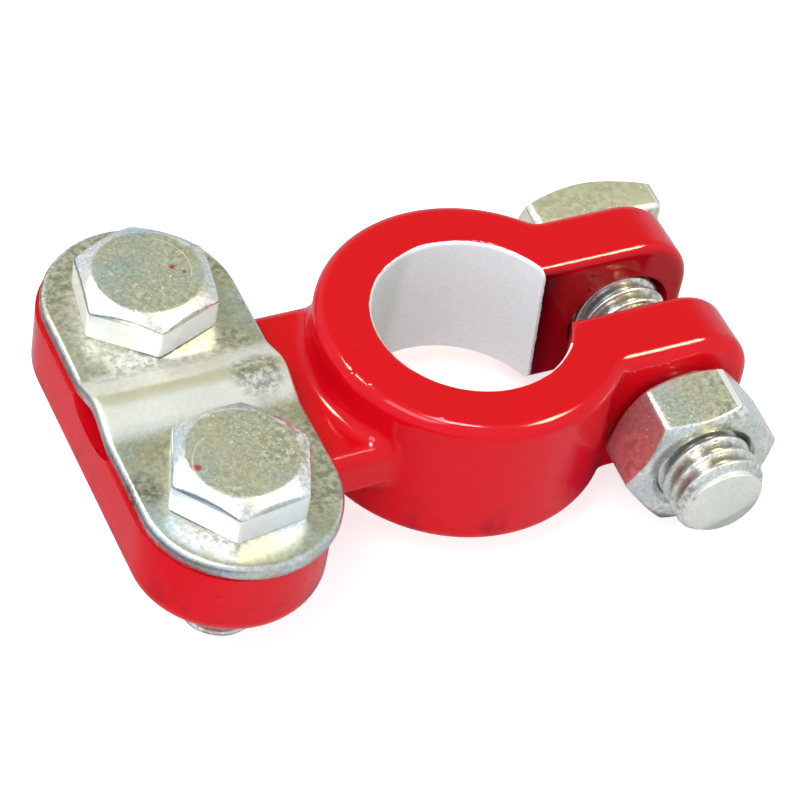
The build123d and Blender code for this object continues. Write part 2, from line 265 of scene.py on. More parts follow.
def painted_from(tree, place, parts):
    """0 on the reamed wall and 1 from the paint's ragged edge outwards."""
    flat = add(tree, "ShaderNodeCombineXYZ", {"X": parts.outputs["X"], "Y": parts.outputs["Y"]})
    from_axis = add(tree, "ShaderNodeVectorMath", {0: flat}, operation="LENGTH")
    ripples = add(tree, "ShaderNodeTexNoise", {
        "Vector": place, "Scale": EDGE_RIPPLES, "Detail": 2.0})
    # The wall's radius shrinks by 1 in 18 going up, from 10.69 mm; paint starts 0.15 mm outside.
    wall = add(tree, "ShaderNodeMath", {
        0: parts.outputs["Z"], 1: -1 / 18, 2: 10.84 * MM}, operation="MULTIPLY_ADD")
    ragged = add(tree, "ShaderNodeMath", {
        0: ripples, 1: 0.22 * MM, 2: wall}, operation="MULTIPLY_ADD")
    # Paint ran 1 mm into the bore on the near side, by the slit.
    near_side = add(tree, "ShaderNodeMath", {
        0: parts.outputs["Y"], 1: -1 * MM}, operation="LESS_THAN")
    by_slit = add(tree, "ShaderNodeMath", {
        0: parts.outputs["X"], 1: 7.8 * MM}, operation="GREATER_THAN")
    run_in = add(tree, "ShaderNodeMath", {0: near_side, 1: by_slit}, operation="MULTIPLY")
    edge = add(tree, "ShaderNodeMath", {
        0: run_in, 1: -1 * MM, 2: ragged}, operation="MULTIPLY_ADD")
    outside = add(tree, "ShaderNodeMath", {
        0: from_axis.outputs["Value"], 1: edge}, operation="SUBTRACT")
    return add(tree, "ShaderNodeMapRange", {
        "Value": outside, "From Min": -0.02 * MM, "From Max": 0.03 * MM})


def enamel_material():
    """Gloss enamel gives sharp small highlights; its colour sits under a clear, even skin."""
    material, tree = new_material("red_gloss_enamel")
    place = add(tree, "ShaderNodeTexCoord").outputs["Object"]
    parts = add(tree, "ShaderNodeSeparateXYZ", {"Vector": place})
    enamel = add(tree, "ShaderNodeBsdfPrincipled", {
        "Base Color": enamel_colour(tree, place, parts), "Roughness": 0.11,
        "Specular IOR Level": 0.24, "Normal": enamel_skin(tree, place)})
    both = add(tree, "ShaderNodeMixShader", {
        0: painted_from(tree, place, parts), 1: bare_alloy(tree, place, parts), 2: enamel})
    add(tree, "ShaderNodeOutputMaterial", {"Surface": both})
    return material


red_enamel = enamel_material()
print("material", red_enamel.name, "with", len(red_enamel.node_tree.nodes), "nodes")

# %% [markdown]
# ## Bright zinc plate
# The strap, bolts and nut are steel with a thin coat of bright zinc. Plating is a metal, so it
# has no colour of its own but a tint on its reflections: here straw in places and blue in
# others. Handling leaves it finely speckled rather than mirror bright. A flat metal would look
# like chrome, so four noises share the work: they tint it, speckle it and vary its gloss.

# %% The coat that strap and fasteners share
CRYSTALS = 1400.0        # 0.7 mm spangle, drawn coarser than real so that it shows
CLOUDS = 230.0           # straw tint and gloss shift over 4 mm
SHEEN = 120.0            # blue tint and spangle come in patches 8 mm across
METALLIC = 0.85          # a little under 1, as a dulled coat also scatters light


def plating_noises(tree, place, grain_mm):
    """The coat's four noises. Its real grain is under 0.1 mm and wouldn't show, so grain_mm
    draws it three or four times as coarse."""
    # Each is given by its scale, detail and roughness.
    kinds = {"grain": (1 / (grain_mm * MM), 2.0, 0.6), "crystals": (CRYSTALS, 2.0, 0.7),
             "clouds": (CLOUDS, 3.0, 0.5), "sheen": (SHEEN, 2.0, 0.5)}
    return {kind: add(tree, "ShaderNodeTexNoise", {
        "Vector": place, "Scale": scale, "Detail": detail, "Roughness": roughness})
        for kind, (scale, detail, roughness) in kinds.items()}


def plated_colour(tree, noises, plate, straw, blue):
    """The plate's colour with its two tints, fine speckle and patches of coarser spangle."""
    straw_here = add(tree, "ShaderNodeMapRange", {
        "Value": noises["clouds"], "From Min": 0.38, "From Max": 0.62})
    blue_here = add(tree, "ShaderNodeMapRange", {
        "Value": noises["sheen"], "From Min": 0.5, "From Max": 0.68})
    tinted = layered(tree, linear(plate), ((straw_here, straw), (blue_here, blue)))
    fleck = add(tree, "ShaderNodeMapRange", {
        "Value": noises["grain"], "From Min": 0.32, "From Max": 0.68,
        "To Min": 0.74, "To Max": 1.1})
    spangle = add(tree, "ShaderNodeMapRange", {
        "Value": noises["crystals"], "From Min": 0.38, "From Max": 0.62,
        "To Min": 0.5, "To Max": 1.25})
    spangled_here = add(tree, "ShaderNodeMapRange", {
        "Value": noises["sheen"], "From Min": 0.54, "From Max": 0.4, "To Max": 0.8})
    mottle = add(tree, "ShaderNodeMix", {"Factor": spangled_here, "A": fleck, "B": spangle})
    speckled = add(tree, "ShaderNodeMix", {
        "Factor": 1.0, MIX_A: tinted, MIX_B: mottle},
        data_type="RGBA", blend_type="MULTIPLY")
    return speckled.outputs[MIX_RESULT]


def zinc_material(name, tints, gloss, grain_mm, wear):
    """Zinc plate with its own tints and gloss; wear adds what only this piece shows, its wear
    and its painted light and shade.
    """
    material, tree = new_material(name)
    place = add(tree, "ShaderNodeTexCoord").outputs["Object"]
    noises = plating_noises(tree, place, grain_mm)
    colour, height, metallic = wear(
        tree, place, noises, plated_colour(tree, noises, *tints))
    rough = add(tree, "ShaderNodeMapRange", {
        "Value": noises["clouds"], "From Min": 0.3, "From Max": 0.7,
        "To Min": gloss - 0.05, "To Max": gloss + 0.07})
    bump = add(tree, "ShaderNodeBump", {
        "Height": height, "Strength": 0.12, "Distance": 0.03 * MM})
    zinc = add(tree, "ShaderNodeBsdfPrincipled", {
        "Base Color": colour, "Metallic": metallic, "Roughness": rough, "Normal": bump})
    add(tree, "ShaderNodeOutputMaterial", {"Surface": zinc})
    return material


print("sheen patches", round(1000 / SHEEN, 1), "mm across")

# %% [markdown]
# ## Painted light on the strap
# The crest of the strap's arch is drawn a warm white, as a painted highlight, and two patches
# are drawn dark, as painted reflections of darker surroundings. Each is a place on the piece, so
# distances give them, and noise breaks up their edges.

# %% Strap's plate
STRAP_DARK_REFLECTIONS = ((-22.6, -0.8, 2.4), (-38.0, -10.2, 1.9))   # x, y, radius in mm
CREST = (4.6, 2.6)       # the painted crest highlight starts, and is fullest, this far from y = 0


def near_spots(tree, place, spots, clouds):
    """1 inside round spots (x, y, radius, in mm) seen from above, 0 outside, edges ragged."""
    flat = add(tree, "ShaderNodeVectorMath", {
        0: place, 1: (1.0, 1.0, 0.0)}, operation="MULTIPLY")
    inside = None
    for x, y, radius in spots:
        away = add(tree, "ShaderNodeVectorMath", {
            0: flat, 1: (x * MM, y * MM, 0.0)}, operation="DISTANCE")
        ragged = add(tree, "ShaderNodeMath", {
            0: clouds, 1: radius * MM, 2: away.outputs["Value"]}, operation="MULTIPLY_ADD")
        here = add(tree, "ShaderNodeMapRange", {
            "Value": ragged, "From Min": 1.75 * radius * MM, "From Max": 1.2 * radius * MM})
        inside = here if inside is None else add(
            tree, "ShaderNodeMath", {0: inside, 1: here}, operation="MAXIMUM")
    return inside


# Painted light on the strap: a highlight along the arch's crest, and two patches of painted dark
# reflection.
def strap_painted_light(tree, place, noises, colour):
    parts = add(tree, "ShaderNodeSeparateXYZ", {"Vector": place})
    across = add(tree, "ShaderNodeMath", {0: parts.outputs["Y"]}, operation="ABSOLUTE")
    crest_highlight = add(tree, "ShaderNodeMapRange", {
        "Value": across, "From Min": CREST[0] * MM, "From Max": CREST[1] * MM, "To Max": 0.75})
    crest_highlighted = layered(tree, colour, ((crest_highlight, "#FFFDEE"),))
    broken = add(tree, "ShaderNodeMapRange", {
        "Value": noises["crystals"], "From Min": 0.4, "From Max": 0.62,
        "To Min": 0.45, "To Max": 0.95})
    # Painted reflection: two patches of the strap are drawn dark.
    darkened = add(tree, "ShaderNodeMix", {
        "Factor": 1.0, MIX_A: crest_highlighted, MIX_B: broken},
        data_type="RGBA", blend_type="MULTIPLY")
    dark_reflected = add(tree, "ShaderNodeMix", {
        "Factor": near_spots(tree, place, STRAP_DARK_REFLECTIONS, noises["clouds"]),
        MIX_A: crest_highlighted, MIX_B: darkened.outputs[MIX_RESULT]}, data_type="RGBA")
    return dark_reflected.outputs[MIX_RESULT], noises["grain"], METALLIC


zinc_strap = zinc_material(
    "bright_zinc_strap", ("#DCDDD4", "#CBCAB6", "#C6DAE6"), gloss=0.32, grain_mm=0.4,
    wear=strap_painted_light)
print("material", zinc_strap.name, "with", len(zinc_strap.node_tree.nodes), "nodes")

# %% [markdown]
# ## Marks and painted light on the fasteners
# The hex heads were turned and then handled: nicks from the tool cross their discs, and a few
# drops of red enamel fell on them. Thin bright arcs near the discs' rims are painted highlights,
# and the threads' bottoms are darkened as painted shade. The hex flats, square head and pinch
# bolt's tip are drawn paler than plain zinc, as painted light, to make up for what they mirror.
# All of it is drawn by where a point is, except the grooves' painted shade: the threads below
# note how deep each of their points lies, and this material reads that note.

# %% Fasteners' plate
REGIONS = {   # axis, test, place along that axis, and half the reach of a COMPARE, in mm
    "discs": ("Z", "GREATER_THAN", STRAP_TOP + 4.2, 0),
    "hex flats": ("Z", "COMPARE", STRAP_TOP + 1.55, 1.5),
    "far side": ("Y", "GREATER_THAN", 10.4, 0),
    "ears' end": ("X", "GREATER_THAN", 0, 0),
    "tip": ("Y", "COMPARE", -22.6, 0.6)}
RIM_HIGHLIGHT_ARCS = (   # centre x, y, radius in mm, and the way the arc bulges
    (-30.2, -13.0, 4.1, -1.0, 0.35), (-29.4, 12.2, 4.4, 1.0, 0.3))
ARC_HALF_WIDTH = 0.06
ENAMEL_SPECKS = ((-26.8, 11.9, 0.3), (-25.9, 11.0, 0.22), (-33.9, -12.5, 0.4))
NICKS = 900.0            # room for a nick every 1.1 mm


def rim_highlight_arcs(tree, place):
    """1 on the two thin arcs of painted highlight near the discs' rims, kept to the side that
    each bulges to.
    """
    flat = add(tree, "ShaderNodeVectorMath", {
        0: place, 1: (1.0, 1.0, 0.0)}, operation="MULTIPLY")
    arcs = None
    for x, y, radius, way_x, way_y in RIM_HIGHLIGHT_ARCS:
        centre = (x * MM, y * MM, 0.0)
        away = add(tree, "ShaderNodeVectorMath", {0: flat, 1: centre}, operation="DISTANCE")
        line = add(tree, "ShaderNodeMath", {
            0: away.outputs["Value"], 1: radius * MM, 2: ARC_HALF_WIDTH * MM},
            operation="COMPARE")
        arm = add(tree, "ShaderNodeVectorMath", {0: flat, 1: centre}, operation="SUBTRACT")
        along = add(tree, "ShaderNodeVectorMath", {
            0: arm, 1: (way_x, way_y, 0.0)}, operation="DOT_PRODUCT")
        side = add(tree, "ShaderNodeMath", {
            0: along.outputs["Value"], 1: 0.75 * radius * MM}, operation="GREATER_THAN")
        arc = add(tree, "ShaderNodeMath", {0: line, 1: side}, operation="MULTIPLY")
        arcs = arc if arcs is None else add(
            tree, "ShaderNodeMath", {0: arcs, 1: arc}, operation="MAXIMUM")
    return arcs


def marked_discs(tree, place, on_disc, clouds, colour):
    """The discs' painted highlight arcs, nicks and drops of enamel: the new colour, and where
    the arcs and nicks lie.
    """
    scattered = add(tree, "ShaderNodeTexNoise", {
        "Vector": place, "Scale": NICKS, "Detail": 1.0})
    nicks = add(tree, "ShaderNodeMapRange", {
        "Value": scattered, "From Min": 0.72, "From Max": 0.76})
    # Painted highlight arcs near the rims, together with the nicks.
    bright = add(tree, "ShaderNodeMath", {
        0: rim_highlight_arcs(tree, place), 1: nicks}, operation="MAXIMUM")
    cut = add(tree, "ShaderNodeMath", {0: bright, 1: on_disc}, operation="MULTIPLY")
    specks = add(tree, "ShaderNodeMath", {
        0: near_spots(tree, place, ENAMEL_SPECKS, clouds), 1: on_disc}, operation="MULTIPLY")
    return layered(tree, colour, ((cut, "#FFFFFF"), (specks, "#E0606A"))), cut


def fastener_marks_and_painted_light(tree, place, noises, colour):
    parts = add(tree, "ShaderNodeSeparateXYZ", {"Vector": place})
    where = {region: add(tree, "ShaderNodeMath", {
        0: parts.outputs[axis], 1: at * MM, 2: half * MM}, operation=test)
        for region, (axis, test, at, half) in REGIONS.items()}
    colour, cut = marked_discs(tree, place, where["discs"], noises["clouds"], colour)
    height = add(tree, "ShaderNodeMath", {
        0: cut, 1: 0.6, 2: noises["grain"]}, operation="MULTIPLY_ADD")
    # Painted light: the hex flats are drawn near white and less metallic.
    metallic = add(tree, "ShaderNodeMath", {
        0: where["hex flats"], 1: -0.5, 2: METALLIC}, operation="MULTIPLY_ADD")
    # The square head is where the far side meets the ears' end.
    square = add(tree, "ShaderNodeMath", {
        0: where["far side"], 1: where["ears' end"]}, operation="MULTIPLY")
    ends = add(tree, "ShaderNodeMath", {0: square, 1: where["tip"]}, operation="MAXIMUM")
    # Painted light: the square head and the tip are drawn paler.
    pale = add(tree, "ShaderNodeMath", {0: ends, 1: 0.6}, operation="MULTIPLY")
    # Painted shade: the threads' grooves are drawn darker.
    groove = add(tree, "ShaderNodeAttribute", attribute_name="groove")
    painted_groove_shade = add(tree, "ShaderNodeMapRange", {
        "Value": groove.outputs["Fac"], "From Min": 0.35, "From Max": 0.95, "To Max": 0.7})
    colour = layered(tree, colour, (
        (where["hex flats"], "#FDFDF8"), (pale, "#FFFDEA"), (painted_groove_shade, "#66645E")))
    return colour, height, metallic


zinc_bolts = zinc_material(
    "bright_zinc_fasteners", ("#EEEFEA", "#E0E0D0", "#D0E2EC"), gloss=0.24, grain_mm=0.3,
    wear=fastener_marks_and_painted_light)
print("material", zinc_bolts.name, "with", len(zinc_bolts.node_tree.nodes), "nodes")

# %% [markdown]
# ## Screw threads
# A thread is one groove wound round a cylinder, so its shape is a rule: the radius at any point
# depends only on its angle and its height. A modelled screw profile could be swept, but the rule
# is simpler to follow: Geometry Nodes bend a flat grid into the shape. The grid's columns become
# the angle and its rows the height. The first and last rows are drawn in to the axis, which
# closes the ends, and a small cone turns the crest down at the tip.
#
# The sum is long, so it is written as a table. Each line names a step, its operation, and what
# goes in: numbers, the grid's X or Y, one of the tree's inputs, or a step above it.

# %% The thread's rule, step by step
FULL_TURN = 2 * math.pi
THREAD_STEPS = (
    # The grid's X runs from -0.5 to 0.5, once round the shank.
    ("turn", "ADD", "X", 0.5),
    ("angle", "MULTIPLY", "turn", FULL_TURN),
    # Its Y runs along the rows. One row at each end is kept for closing it.
    ("last row", "SUBTRACT", "Rows", 1.0),
    ("along", "ADD", "Y", 0.5),
    ("row", "MULTIPLY", "along", "last row"),
    ("row within", "SUBTRACT", "row", 1.0),
    ("rows within", "SUBTRACT", "last row", 2.0),
    ("share", "DIVIDE", "row within", "rows within"),
    ("height", "MULTIPLY", "share", "Length"),
    # 0 on the first and the last row, and 1 on all others.
    ("after first", "GREATER_THAN", "row", 0.5),
    ("nearly last", "SUBTRACT", "last row", 0.5),
    ("before last", "LESS_THAN", "row", "nearly last"),
    ("open", "MULTIPLY", "after first", "before last"),
    # Rounded groove: 0 on the crest and 1 at the root, once for every pitch.
    ("pitches", "DIVIDE", "height", "Pitch"),
    ("turns", "SUBTRACT", "pitches", "turn"),
    ("phase", "MULTIPLY", "turns", FULL_TURN),
    ("wave", "COSINE", "phase"),
    ("valley", "MULTIPLY_ADD", "wave", -0.5, 0.5),
    ("groove", "POWER", "valley", 1.2),
    ("groove depth", "MULTIPLY", "groove", "Depth"),
    ("cut", "SUBTRACT", "Radius", "groove depth"),
    # The tip's chamfer limits the radius; it starts small at height 0 and lets go by Point.
    ("tip's face", "SUBTRACT", "Radius", "Point"),
    ("chamfer", "ADD", "height", "tip's face"),
    ("limited", "MINIMUM", "cut", "chamfer"),
    ("radius", "MULTIPLY", "limited", "open"),
    # Bent round the axis.
    ("cosine", "COSINE", "angle"),
    ("sine", "SINE", "angle"),
    ("bent X", "MULTIPLY", "radius", "cosine"),
    ("bent Y", "MULTIPLY", "radius", "sine"),
    # Painted shade lies in the groove, but not on the tip.
    ("past tip", "GREATER_THAN", "height", "Point"),
    ("painted_groove_shade", "MULTIPLY", "groove", "past tip"))
CLAMPED = ("share", "valley")     # steps that are held between 0 and 1
print("thread rule in", len(THREAD_STEPS), "steps")

# %% [markdown]
# The tree takes its sizes in millimetres, with the tip at the origin and the shank along +Z. It
# notes the groove's painted shade on the flat grid, before the points move, because a node that
# comes after the move would work the rule out again from the moved points.

# %% Geometry Nodes tree for a threaded shank
THREAD_SIZES = {"Radius": 4.76, "Pitch": 1.5875, "Depth": 0.9, "Length": 31.75, "Point": 1.0}
THREAD_COUNTS = {"Columns": 96, "Rows": 200}
CLOSED_WITHIN = 0.0005


def thread_tree():
    tree = bpy.data.node_groups.new("threaded_shank", "GeometryNodeTree")
    for kind, defaults in (("NodeSocketFloat", THREAD_SIZES), ("NodeSocketInt", THREAD_COUNTS)):
        for name, default in defaults.items():
            socket = tree.interface.new_socket(name, in_out="INPUT", socket_type=kind)
            socket.default_value = default
    tree.interface.new_socket("Material", in_out="INPUT", socket_type="NodeSocketMaterial")
    tree.interface.new_socket("Mesh", in_out="OUTPUT", socket_type="NodeSocketGeometry")
    known = {socket.name: socket for socket in add(tree, "NodeGroupInput").outputs}

    grid = add(tree, "GeometryNodeMeshGrid", {
        "Size X": 1.0, "Size Y": 1.0, "Vertices X": known["Columns"],
        "Vertices Y": known["Rows"]})
    here = add(tree, "ShaderNodeSeparateXYZ", {
        "Vector": add(tree, "GeometryNodeInputPosition")})
    known.update(X=here.outputs["X"], Y=here.outputs["Y"])
    for name, operation, *terms in THREAD_STEPS:
        step = add(tree, "ShaderNodeMath", {k: known.get(t, t) for k, t in enumerate(terms)},
                   operation=operation, use_clamp=name in CLAMPED)
        known[name] = step.outputs[0]
    bent = add(tree, "ShaderNodeCombineXYZ", {
        "X": known["bent X"], "Y": known["bent Y"], "Z": known["height"]})

    noted = add(tree, "GeometryNodeStoreNamedAttribute", {
        "Geometry": grid, "Name": "groove", "Value": known["painted_groove_shade"]},
        data_type="FLOAT", domain="POINT")
    shaped = add(tree, "GeometryNodeSetPosition", {"Geometry": noted, "Position": bent})
    joined = add(tree, "GeometryNodeMergeByDistance", {
        "Geometry": shaped, "Distance": CLOSED_WITHIN})
    real = add(tree, "GeometryNodeRealizeInstances", {"Geometry": joined})
    dressed = add(tree, "GeometryNodeSetMaterial", {
        "Geometry": real, "Material": known["Material"]})
    add(tree, "NodeGroupOutput", {"Mesh": dressed})
    return tree


threads = thread_tree()
print("thread tree with", len(threads.nodes), "nodes")

# %% [markdown]
# This helper fills the tree's inputs, lets it run once on an empty object, and keeps the result
# as a plain mesh. The inputs belong to the modifier and are set by each socket's identifier.

# %% Run the thread tree
COLUMNS = 97
ROWS_A_PITCH = 16


def threaded_shank(name, sizes, depth, length):
    rows = int(length / sizes["pitch"] * ROWS_A_PITCH) + 3
    values = {"Radius": sizes["radius"], "Pitch": sizes["pitch"], "Depth": depth,
              "Length": length, "Point": sizes["point"], "Columns": COLUMNS, "Rows": rows,
              "Material": zinc_bolts}
    carrier = bpy.data.objects.new(name + "_carrier", bpy.data.meshes.new(name + "_carrier"))
    bpy.context.collection.objects.link(carrier)
    modifier = carrier.modifiers.new("thread", "NODES")
    modifier.node_group = threads
    for item in threads.interface.items_tree:
        if item.in_out == "INPUT" and item.name in values:
            modifier[item.identifier] = values[item.name]
    evaluated = carrier.evaluated_get(bpy.context.evaluated_depsgraph_get())
    mesh = bpy.data.meshes.new_from_object(evaluated)
    bpy.data.objects.remove(carrier)
    return mesh


print("a row every", round(PINCH_BOLT["pitch"] / ROWS_A_PITCH, 3), "mm of the pinch bolt")

# %% [markdown]
# ## Bolt heads and the nut
# A hex or square head is forged, then its face is turned off at 30 degrees, which leaves a disc
# with an arched edge on each flat. Bevelling a plain prism would miss those arcs. Seen at any
# angle round the axis the outline is a short path of a few corners, so the head is a loop of
# such paths. Rounding each path's corners, and the corners of the hexagon itself, gives the
# soft plated edges that catch the light.

# %% Outlines and the mesh they make
def flats_radius(angle, flats, sides, sharpness):
    """Distance from the axis to the side of a polygon with softened corners."""
    normals = 2 * math.pi * (np.arange(sides) + 0.5) / sides
    facing = np.clip(np.cos(angle[:, None] - normals[None, :]), 0, None)
    return flats / 2 / (facing ** sharpness).sum(axis=1) ** (1 / sharpness)


def outline(side, corners):
    """One path an angle, from corners (radius, height) that may vary with the angle."""
    return np.array([np.stack([np.broadcast_to(value, side.shape) for value in corner], axis=1)
                     for corner in corners], dtype=float)


def rounded_path(corners, radii, steps=5):
    """Replaces the inner corners of paths (corner, angle, 2) by short curves of given sizes."""
    rows = [corners[0]]
    for k, reach in enumerate(radii, start=1):
        before, here, after = corners[k - 1], corners[k], corners[k + 1]
        ends = []
        for way in (before - here, after - here):
            length = np.maximum(np.linalg.norm(way, axis=1, keepdims=True), 1e-6)
            ends.append(here + way * np.minimum(0.45, reach / length))
        for t in np.linspace(0, 1, steps):
            rows.append((1 - t) ** 2 * ends[0] + 2 * t * (1 - t) * here + t ** 2 * ends[1])
    rows.append(corners[-1])
    return np.array(rows)


def clean_mesh(mesh):
    """Closes seams and points faces outwards."""
    work = bmesh.new()
    work.from_mesh(mesh)
    bmesh.ops.remove_doubles(work, verts=work.verts, dist=1e-4)
    bmesh.ops.dissolve_degenerate(work, edges=work.edges, dist=1e-5)
    bmesh.ops.recalc_face_normals(work, faces=work.faces)
    work.to_mesh(mesh)
    work.free()
    return mesh


def looped_mesh(name, points, count, rows, closed):
    """A mesh of rows of points, each row a ring of count; closed joins last row to first."""
    faces = []
    for row in range(rows if closed else rows - 1):
        this, after = row * count, (row + 1) % rows * count
        for k in range(count):
            on = (k + 1) % count
            faces.append((this + k, this + on, after + on, after + k))
    mesh = bpy.data.meshes.new(name)
    mesh.from_pydata(points, [], faces)
    return clean_mesh(mesh)


print("a hex head's corner stands at", round(12.7 / math.sqrt(3), 2), "mm from its axis")

# %% [markdown]
# Heads and nut share one recipe. Sharpness says how crisp the polygon's corners are, face is
# the radius of the turned disc, and seat is the rounding of the edge that touches the work.

# %% Heads and nut from their outlines
CHAMFER = math.tan(math.radians(30))
ANGLES_A_SIDE = 24
HEX_HEAD = {"flats": 12.7, "sides": 6, "height": 4.3, "face": 5.3, "sharpness": 90, "seat": 0.15}
SQUARE_HEAD = {"flats": 14.0, "sides": 4, "height": 5.0, "face": 6.9, "sharpness": 30,
               "seat": 0.8}
NUT = {"flats": 14.0, "height": 6.7, "face": 6.65, "bore": 4.81, "mouth": 0.6, "sharpness": 60}
HEAD_EDGES = (0.22, 0.3)            # rounding of the shoulder and of the disc's rim
NUT_EDGES = (0.1, 0.15, 0.3, 0.3)   # bore, its mouth, disc's rim and shoulder


def revolved(name, rows, angle, turn, closed):
    """A mesh from paths (radius, height), one at each angle, turned round the axis."""
    turned = angle + math.radians(turn)
    points = [(r * math.cos(a), r * math.sin(a), z)
              for row in rows for (r, z), a in zip(row, turned)]
    return looped_mesh(name, points, len(angle), len(rows), closed)


def bolt_head(name, turn, flats, sides, height, face, sharpness, seat):
    """A head that sits on height 0, its turned face at the given height."""
    angle = np.linspace(0, 2 * math.pi, sides * ANGLES_A_SIDE, endpoint=False)
    side = flats_radius(angle, flats, sides, sharpness)
    shoulder = height - (side - face) * CHAMFER
    corners = outline(side, [(0, 0), (side, 0), (side, shoulder), (face, height), (0, height)])
    return revolved(name, rounded_path(corners, (seat, *HEAD_EDGES)), angle, turn, closed=False)


def hex_nut(name, turn, flats, height, face, bore, mouth, sharpness):
    """A nut from height 0 up, turned off at both ends; its path runs once round the section."""
    angle = np.linspace(0, 2 * math.pi, 6 * ANGLES_A_SIDE, endpoint=False)
    side = flats_radius(angle, flats, 6, sharpness)
    drop = (side - face) * CHAMFER
    corners = outline(side, [
        (bore, height / 2), (bore, mouth), (bore + mouth, 0), (face, 0), (side, drop),
        (side, height - drop), (face, height), (bore + mouth, height), (bore, height - mouth),
        (bore, height / 2)])
    rows = rounded_path(corners, NUT_EDGES + NUT_EDGES[::-1])
    return revolved(name, rows[:-1], angle, turn, closed=True)


print("hex head", HEX_HEAD, "square head", SQUARE_HEAD)

# %% [markdown]
# ## Put the fasteners in place
# Head and thread of one bolt become a single piece. Its place goes into the mesh itself, and
# the object stays at the origin, as the solids do, so that patterns stay where they belong.
# Each piece then stands in for its plain solid and rides on the same body, so it moves when
# the joint moves.

# %% Helpers that place and join meshes
def placed(mesh, matrix):
    """The mesh turned from millimetres to metres and moved to its place."""
    mesh.transform(matrix @ Matrix.Diagonal((MM, MM, MM, 1)))
    return mesh


def moved(x, y, z):
    """A move given in millimetres."""
    return Matrix.Translation(Vector((x, y, z)) * MM)


def piece(name, meshes, node, body, material=zinc_bolts):
    """One smooth object made of the meshes, standing in for a node and riding on its body."""
    work = bmesh.new()
    for mesh in meshes:
        work.from_mesh(mesh)
    joined = bpy.data.meshes.new(name)
    work.to_mesh(joined)
    work.free()
    joined.materials.clear()
    joined.materials.append(material)
    for polygon in joined.polygons:
        polygon.use_smooth = True
        polygon.material_index = 0
    made = bpy.data.objects.new(name, joined)
    bpy.context.collection.objects.link(made)
    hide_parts(node)
    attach(made, body)
    print(name, len(joined.polygons), "faces")
    return made


print("the rear hex bolt's seat", moved(STRAP_BOLT_X, STRAP_BOLT_Y, STRAP_TOP).translation)

# %% [markdown]
# The two hex bolts stand upright in the saddle, each turned as it was last left. Their shanks
# run half a millimetre up into the heads, so that head and shank join without a gap.

# %% Hex bolts
STRAP_THREAD_DEPTH = 0.8
SHANK_INTO_HEX = 0.5


def strap_bolt(name, y, turn, node, body):
    head = bolt_head(name + "_head", turn, **HEX_HEAD)
    shank = threaded_shank(name + "_shank", STRAP_BOLT, STRAP_THREAD_DEPTH,
                           STRAP_BOLT["length"] + SHANK_INTO_HEX)
    seat = moved(STRAP_BOLT_X, y, STRAP_TOP)
    tip = moved(STRAP_BOLT_X, y, STRAP_TOP - STRAP_BOLT["length"])
    return piece(name, [placed(head, seat), placed(shank, tip)], node, body)


front_bolt = strap_bolt(
    "hex_bolt_front", -STRAP_BOLT_Y, 8.0, "saddle_bolt_front", "front_bolt")
rear_bolt = strap_bolt("hex_bolt_rear", STRAP_BOLT_Y, -38.8, "saddle_bolt_rear", "rear_bolt")

# %% [markdown]
# The pinch bolt lies along Y, a little askew in the ears' roomy holes, with its square head on
# the far ear and the nut on the near one. Turning +Z to +Y lays the bolt down; the nut faces
# the other way, so its own +Z turns to -Y.

# %% Pinch bolt and nut
PINCH_THREAD_DEPTH = 0.95
SHANK_INTO_SQUARE = 0.8
pinch_line = moved(PINCH_X, 0, PINCH_Z) @ Matrix.Rotation(-PINCH_SKEW, 4, "Z")
to_far_side = Matrix.Rotation(math.radians(-90), 4, "X")
to_near_side = Matrix.Rotation(math.radians(90), 4, "X")

pinch_head = placed(
    bolt_head("pinch_head", 45.0, **SQUARE_HEAD),
    pinch_line @ moved(0, HEAD_SEAT, 0) @ to_far_side)
pinch_shank = placed(
    threaded_shank("pinch_shank", PINCH_BOLT, PINCH_THREAD_DEPTH,
                   PINCH_BOLT["length"] + SHANK_INTO_SQUARE),
    pinch_line @ moved(0, HEAD_SEAT - PINCH_BOLT["length"], 0) @ to_far_side)
square_bolt = piece("square_bolt", [pinch_head, pinch_shank], "pinch_bolt", "pinch_bolt")

nut_mesh = placed(hex_nut("nut", 9.0, **NUT), pinch_line @ moved(0, -NUT_SEAT, 0) @ to_near_side)
nut = piece("nut", [nut_mesh], "pinch_nut", "pinch_nut")

# %% [markdown]
# ## The pressed strap
# The strap is sheet metal with a shallow arch pressed across it and a rolled upper edge. Its
# outline in plan is a slot, so every point of it is a step out from the line between the two
# bolts, and rings of such points, laid along the sheet's half section, make the whole skin. The
# arch has straight flanks with a soft crest and feet, and the sheet is never quite flat: slow
# noise of about a tenth of a millimetre makes the metal's reflections wander.

# %% Plan, section and arch of the strap
PLATE = {"width": 19.4, "length": 44.6, "thickness": 1.6, "roll": 0.6, "lower_edge": 0.2}
ARCH_RISE = 1.5
ARCH_HALF_SPAN = 4.6
ARCH_SOFT = 0.25          # share of the flank that bends at the crest, and again at the foot
WANDER, WANDER_OVER = 0.12, 6.0   # height of the slow noise and its size, in mm


def arch_rise(y):
    """Height of the arch at a distance y from its crest."""
    t = np.clip(abs(y) / ARCH_HALF_SPAN, 0, 1)
    if t < ARCH_SOFT:
        fallen = t * t / (2 * ARCH_SOFT)
    elif t < 1 - ARCH_SOFT:
        fallen = t - ARCH_SOFT / 2
    else:
        fallen = 1 - ARCH_SOFT - (1 - t) ** 2 / (2 * ARCH_SOFT)
    return ARCH_RISE * (1 - fallen / (1 - ARCH_SOFT))


